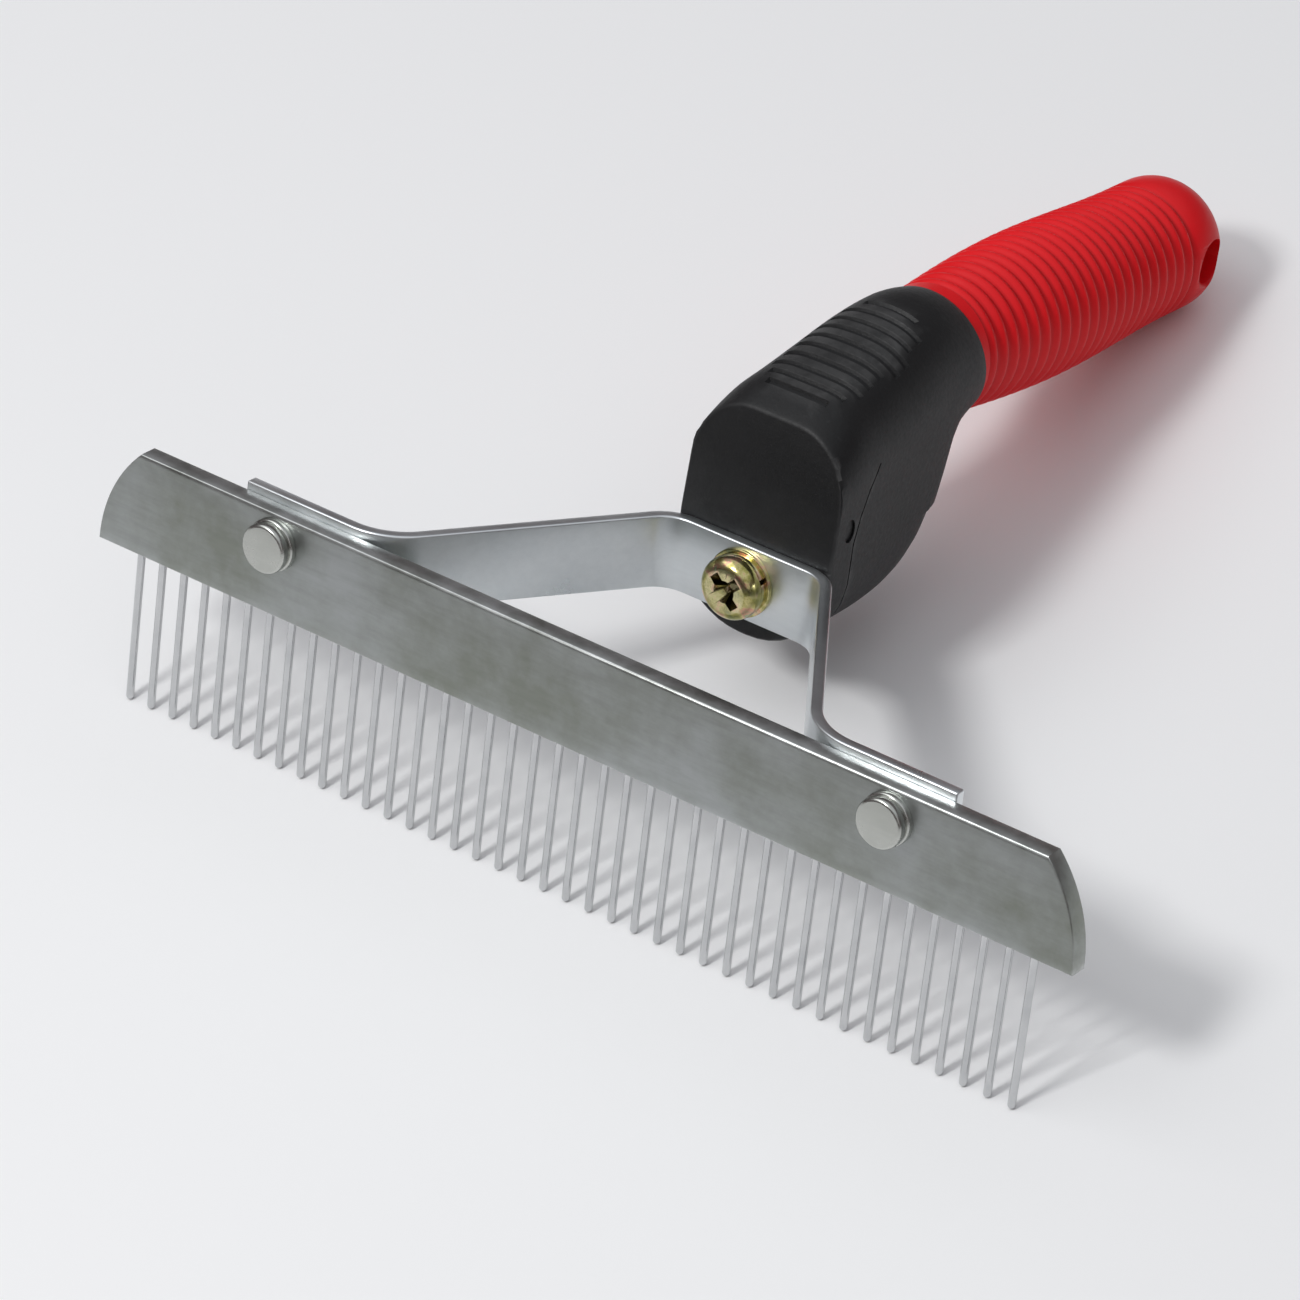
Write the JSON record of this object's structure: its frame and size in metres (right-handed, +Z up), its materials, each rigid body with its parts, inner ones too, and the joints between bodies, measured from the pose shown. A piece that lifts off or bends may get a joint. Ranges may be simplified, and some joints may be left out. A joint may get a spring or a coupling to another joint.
{
  "type": "dematting comb",
  "caption": "Wide grooming comb: a row of blunt steel pins in a flat plated bar, on a bent steel bracket and a black handle with a ribbed red rubber grip.",
  "frame": {"origin": "on the level that the comb rests on, under the middle of its bounding box", "axes": "+X along the bar, +Y from the teeth back to the grip, +Z up from the surface the comb lies on"},
  "size_m": [0.1656, 0.1614, 0.0461],
  "materials": {
    "plated_bar": "satin plated steel with polished edges",
    "tooth_steel": "polished stainless steel pins",
    "bracket_zinc": "bright blue-white zinc plate, satin faces",
    "rivet_zinc": "zinc plate, satin tops and glossy rims",
    "yellow_zinc": "yellow passivated zinc plate",
    "plain_steel": "bright steel",
    "black_plastic": "fine textured moulded plastic",
    "red_rubber": "satin moulded rubber"
  },
  "bodies": {
    "root": {"comb_bar": "plated_bar", "bracket": "bracket_zinc", "rivets": "rivet_zinc", "rivet_washers": "rivet_zinc", "clamp_screw": "yellow_zinc", "spring_washer": "yellow_zinc", "flat_washer": "yellow_zinc", "captive_nut": "plain_steel", "handle_body": "black_plastic", "grip_sleeve": "red_rubber", "tooth_01": "tooth_steel", "tooth_02": "tooth_steel", "tooth_03": "tooth_steel", "tooth_04": "tooth_steel", "tooth_05": "tooth_steel", "tooth_06": "tooth_steel", "tooth_07": "tooth_steel", "tooth_08": "tooth_steel", "tooth_09": "tooth_steel", "tooth_10": "tooth_steel", "tooth_11": "tooth_steel", "tooth_12": "tooth_steel", "tooth_13": "tooth_steel", "tooth_14": "tooth_steel", "tooth_15": "tooth_steel", "tooth_16": "tooth_steel", "tooth_17": "tooth_steel", "tooth_18": "tooth_steel", "tooth_19": "tooth_steel", "tooth_20": "tooth_steel", "tooth_21": "tooth_steel", "tooth_22": "tooth_steel", "tooth_23": "tooth_steel", "tooth_24": "tooth_steel", "tooth_25": "tooth_steel", "tooth_26": "tooth_steel", "tooth_27": "tooth_steel", "tooth_28": "tooth_steel", "tooth_29": "tooth_steel", "tooth_30": "tooth_steel", "tooth_31": "tooth_steel", "tooth_32": "tooth_steel", "tooth_33": "tooth_steel", "tooth_34": "tooth_steel", "tooth_35": "tooth_steel", "tooth_36": "tooth_steel", "tooth_37": "tooth_steel", "tooth_38": "tooth_steel", "tooth_39": "tooth_steel", "tooth_40": "tooth_steel"}
  },
  "joints": []
}
